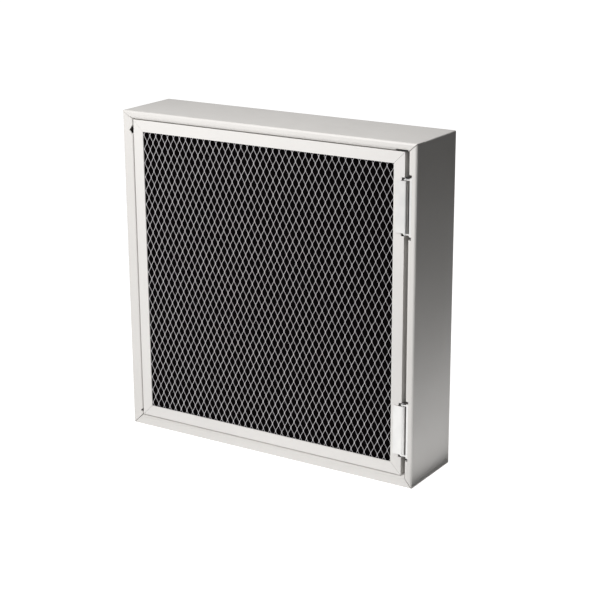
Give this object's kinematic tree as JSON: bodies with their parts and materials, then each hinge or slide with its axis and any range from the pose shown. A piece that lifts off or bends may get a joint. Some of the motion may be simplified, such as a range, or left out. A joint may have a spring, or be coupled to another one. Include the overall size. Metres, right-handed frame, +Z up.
{
  "type": "solder fume extractor",
  "caption": "Square sheet-metal fume extractor with a hinged, mesh-fronted carbon filter door, a pleated filter and a rear axial fan.",
  "frame": {"origin": "centre of the base, on the surface it stands on", "axes": "+Z up, the mesh-fronted door faces -Y, +X to the right of someone facing it"},
  "size_m": [0.3, 0.068, 0.3],
  "materials": {
    "casing_paint": "satin silver-grey powder coat",
    "door_paint": "satin light grey powder coat",
    "zinc_steel": "zinc plated",
    "mesh_metal": "satin expanded metal",
    "carbon": "carbon-loaded open foam",
    "fleece": "thin grey fleece",
    "filter_paper": "pleated glass-fibre media",
    "filter_board": "board frame",
    "foam_seal": "black foam strip",
    "black_plastic": "moulded black plastic",
    "gloss_black": "gloss rocker",
    "copper": "enamelled copper winding",
    "ferrite": "bonded magnet",
    "steel": "ground steel",
    "brass_plate": "nickel-plated brass",
    "wire_blue": "insulated wire"
  },
  "bodies": {
    "casing": {"casing_top": "casing_paint", "casing_bottom": "casing_paint", "casing_left": "casing_paint", "casing_right": "casing_paint", "corner_brackets": "zinc_steel", "side_brackets": "zinc_steel", "rear_panel": "casing_paint", "rear_panel_screws": "zinc_steel", "seat_frame": "zinc_steel", "filter_shelf": "zinc_steel", "filter_frame": "filter_board", "filter_pleats": "filter_paper", "filter_gasket": "foam_seal", "catch_springs": "steel", "hinge_casing_leaves": "zinc_steel", "hinge_pins": "steel", "fan_frame": "black_plastic", "fan_stator": "copper", "fan_bearings": "steel", "fan_screws": "zinc_steel", "fan_nuts": "zinc_steel", "fan_guard": "zinc_steel", "mains_inlet": "black_plastic", "inlet_pins": "brass_plate", "inlet_screws": "zinc_steel", "switch_housing": "black_plastic", "internal_wiring": "wire_blue"},
    "door": {"door_frame_top": "door_paint", "door_frame_bottom": "door_paint", "door_frame_left": "door_paint", "door_frame_right": "door_paint", "door_corner_keys": "zinc_steel", "front_mesh": "mesh_metal", "carbon_pad": "carbon", "rear_retainer": "fleece", "door_gasket": "foam_seal", "hinge_door_leaves": "zinc_steel"},
    "fan_rotor": {"impeller": "black_plastic", "rotor_magnet": "ferrite", "rotor_shaft": "steel"},
    "rocker": {"switch_rocker": "gloss_black"}
  },
  "joints": [
    {"name": "door_hinge", "type": "hinge", "parent": "casing", "child": "door", "pos_m": [0.1384, -0.0303, 0.15], "axis": [0, 0, 1], "range_deg": [0, 95]},
    {"name": "fan_spin", "type": "hinge", "parent": "casing", "child": "fan_rotor", "pos_m": [0, 0.0168, 0.15], "axis": [0, 1, 0], "continuous": true},
    {"name": "rocker_tilt", "type": "hinge", "parent": "casing", "child": "rocker", "pos_m": [0.02, 0.0305, 0.045], "axis": [1, 0, 0], "range_deg": [0, 16]}
  ]
}
